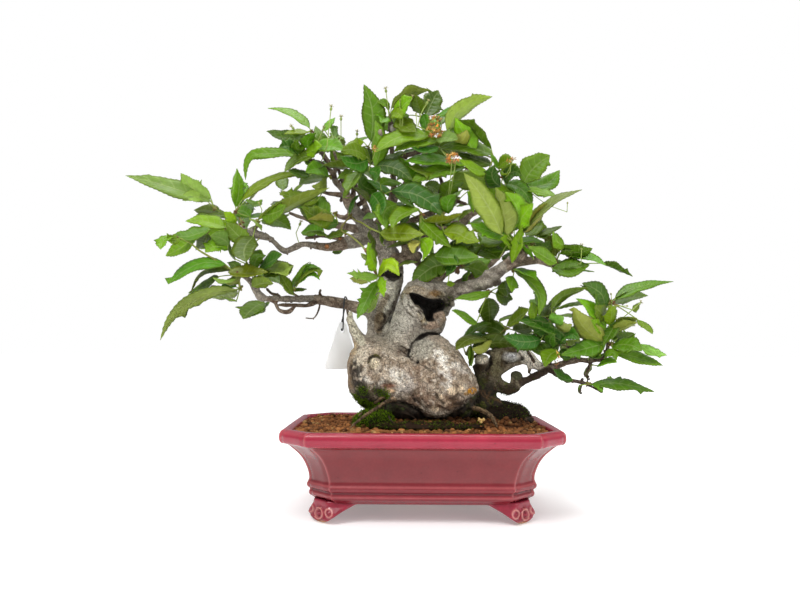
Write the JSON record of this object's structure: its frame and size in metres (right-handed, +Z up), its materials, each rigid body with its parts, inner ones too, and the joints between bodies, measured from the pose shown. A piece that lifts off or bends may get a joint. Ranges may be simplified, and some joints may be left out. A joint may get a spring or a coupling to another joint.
{
  "type": "crabapple bonsai in glazed pot",
  "caption": "Gnarled crabapple bonsai with spreading leafy branches, in a rectangular glazed pot with chamfered corners and cloud feet.",
  "frame": {"origin": "bottom centre of the bounding box of the plant and pot, on the ground under the pot's feet; the hanging tag and its cord are left out of that box", "axes": "+X along the pot's long side, towards the small right-hand trunk, and the longest extent; +Y from the pot's front to its back; +Z up. The front, with the trunk's old wound, faces -Y"},
  "size_m": [0.5906, 0.2664, 0.4798],
  "materials": {
    "pot_glaze": "gloss crimson-rose glaze",
    "drain_net": "matte black net",
    "wire": "satin wire",
    "grit": "matte loose grit",
    "soil": "matte fired-clay granules",
    "moss": "matte living moss",
    "bark": "rough grey bark",
    "leaf": "semi-gloss living leaf",
    "tag_plastic": "gloss white",
    "tag_cord": "matte braided cord"
  },
  "bodies": {
    "root": {"pot": "pot_glaze", "drain_mesh_left": "drain_net", "drain_mesh_right": "drain_net", "mesh_wire_left": "wire", "mesh_wire_right": "wire", "drainage_layer": "grit", "soil": "soil", "moss_left": "moss", "moss_front": "moss", "moss_mound": "moss", "tree": "bark", "label_tag": "tag_plastic", "tag_loop": "tag_cord", "leaf_cluster_01": "leaf", "leaf_cluster_02": "leaf", "leaf_cluster_03": "leaf", "leaf_cluster_04": "leaf", "leaf_cluster_05": "leaf", "leaf_cluster_06": "leaf", "leaf_cluster_07": "leaf", "leaf_cluster_08": "leaf", "leaf_cluster_09": "leaf", "leaf_cluster_10": "leaf", "leaf_cluster_11": "leaf", "leaf_cluster_12": "leaf", "leaf_cluster_13": "leaf", "leaf_cluster_14": "leaf", "leaf_cluster_15": "leaf", "leaf_cluster_16": "leaf", "leaf_cluster_17": "leaf", "leaf_cluster_18": "leaf", "leaf_cluster_19": "leaf", "leaf_cluster_20": "leaf", "leaf_cluster_21": "leaf", "leaf_cluster_22": "leaf", "leaf_cluster_23": "leaf", "leaf_cluster_24": "leaf", "leaf_cluster_25": "leaf", "leaf_cluster_26": "leaf", "leaf_cluster_27": "leaf", "leaf_cluster_28": "leaf", "leaf_cluster_29": "leaf", "leaf_cluster_30": "leaf", "leaf_cluster_31": "leaf", "leaf_cluster_32": "leaf", "leaf_cluster_33": "leaf", "leaf_cluster_34": "leaf", "leaf_cluster_35": "leaf", "leaf_cluster_36": "leaf", "leaf_cluster_37": "leaf", "leaf_cluster_38": "leaf", "leaf_cluster_39": "leaf", "leaf_cluster_40": "leaf", "leaf_cluster_41": "leaf", "leaf_cluster_42": "leaf", "leaf_cluster_43": "leaf", "leaf_cluster_44": "leaf", "leaf_cluster_45": "leaf", "leaf_cluster_46": "leaf"}
  },
  "joints": []
}
